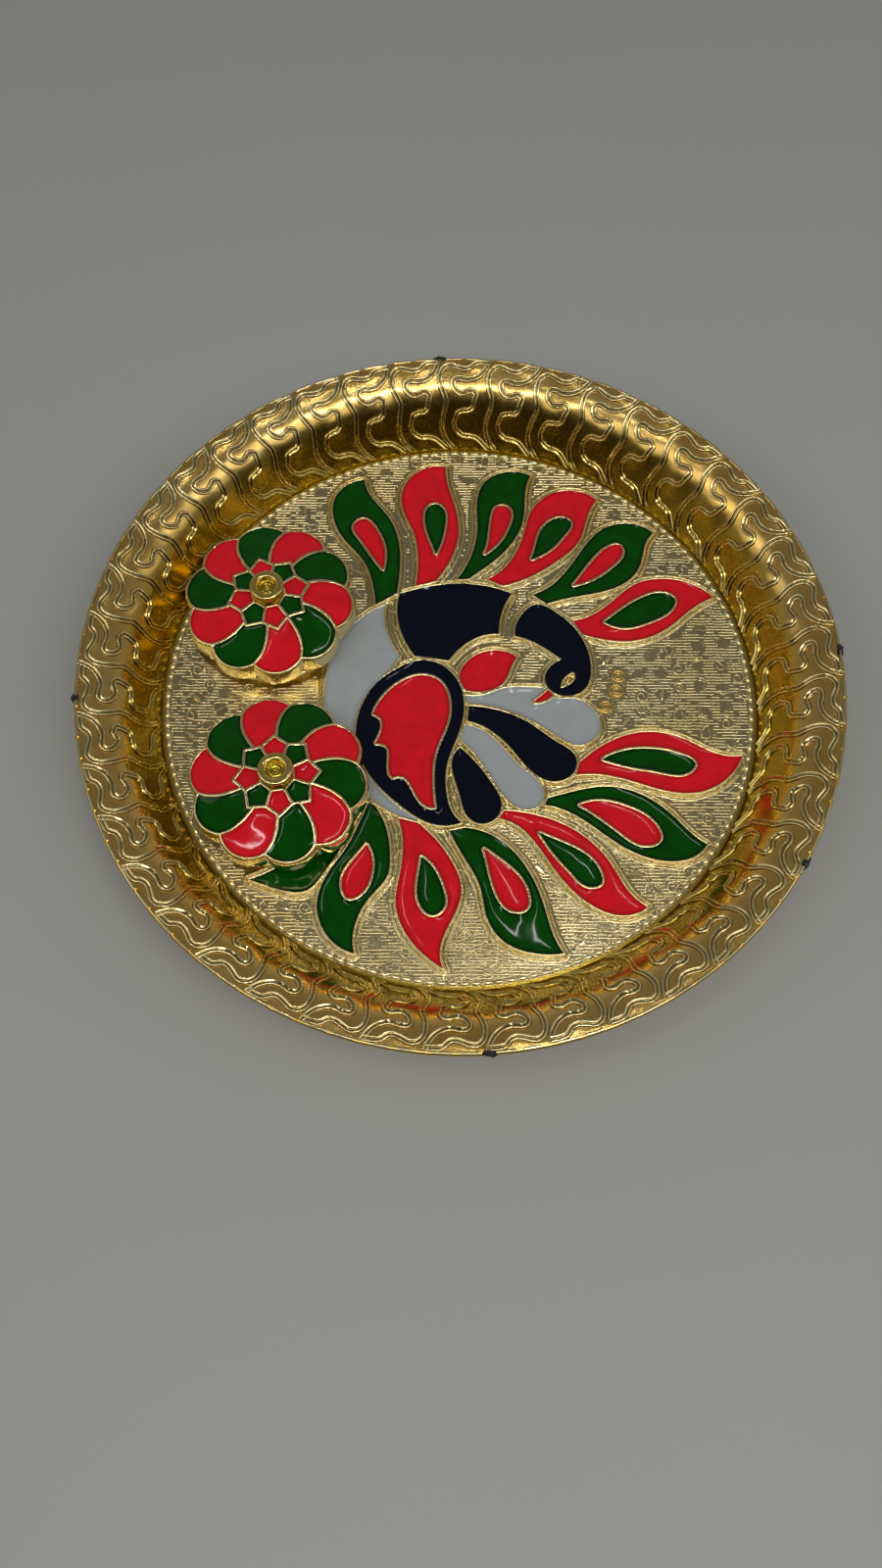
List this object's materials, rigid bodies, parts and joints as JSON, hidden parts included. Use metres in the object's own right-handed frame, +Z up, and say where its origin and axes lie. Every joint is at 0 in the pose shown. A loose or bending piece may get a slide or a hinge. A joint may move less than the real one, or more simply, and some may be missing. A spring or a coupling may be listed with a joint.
{
  "type": "puja thali",
  "caption": "Round gold-plated devotional plate with an enamelled peacock on its floor, a patterned rolled rim and covered cups whose flower lids lift off.",
  "frame": {"origin": "centre of the plate, on the surface that its foot ring stands on", "axes": "+Z up along the plate's axis, +X to the bird's beak side, -X to the cups, +Y to the upper feathers"},
  "size_m": [0.18, 0.18, 0.0203],
  "materials": {
    "gold_plating": "bright gold plating on moulded plastic",
    "enamel_red": "poured glossy enamel",
    "enamel_green": "poured glossy enamel",
    "enamel_navy": "poured glossy enamel",
    "enamel_white": "poured glossy enamel"
  },
  "bodies": {
    "tray": {"plate_shell": "gold_plating", "upper_feather_1_field": "enamel_green", "upper_feather_1_eye": "enamel_red", "upper_feather_2_field": "enamel_red", "upper_feather_2_eye": "enamel_green", "upper_feather_3_field": "enamel_green", "upper_feather_3_eye": "enamel_red", "upper_feather_4_field": "enamel_red", "upper_feather_4_eye": "enamel_green", "upper_feather_5_field": "enamel_green", "upper_feather_5_eye": "enamel_red", "upper_feather_6_field": "enamel_red", "upper_feather_6_eye": "enamel_green", "lower_feather_1_field": "enamel_green", "lower_feather_1_eye": "enamel_red", "lower_feather_2_field": "enamel_red", "lower_feather_2_eye": "enamel_green", "lower_feather_3_field": "enamel_green", "lower_feather_3_eye": "enamel_red", "lower_feather_4_field": "enamel_red", "lower_feather_4_eye": "enamel_green", "lower_feather_5_field": "enamel_green", "lower_feather_5_eye": "enamel_red", "lower_feather_6_field": "enamel_red", "lower_feather_6_eye": "enamel_green", "lower_leaf": "enamel_green", "body_white": "enamel_white", "neck_enamel": "enamel_navy", "head_enamel": "enamel_navy", "breast_leaf": "enamel_red", "beak_enamel": "enamel_red", "wing_band": "enamel_navy", "wing_heart": "enamel_red", "quill_white_1": "enamel_white", "quill_navy_1": "enamel_navy", "quill_white_2": "enamel_white", "quill_navy_2": "enamel_navy", "cup_1": "gold_plating", "cup_2": "gold_plating"},
    "lid_1": {"lid_1_shell": "gold_plating", "lid_1_knob": "gold_plating", "lid_1_petals_red": "enamel_red", "lid_1_petals_green": "enamel_green", "lid_1_buds_red": "enamel_red", "lid_1_buds_green": "enamel_green"},
    "lid_2": {"lid_2_shell": "gold_plating", "lid_2_knob": "gold_plating", "lid_2_petals_red": "enamel_red", "lid_2_petals_green": "enamel_green", "lid_2_buds_red": "enamel_red", "lid_2_buds_green": "enamel_green"}
  },
  "joints": [
    {"name": "lid_1_lift", "type": "slide", "parent": "tray", "child": "lid_1", "axis": [0, 0, 1], "range_m": [0, 0.03]},
    {"name": "lid_2_lift", "type": "slide", "parent": "tray", "child": "lid_2", "axis": [0, 0, 1], "range_m": [0, 0.03]}
  ]
}
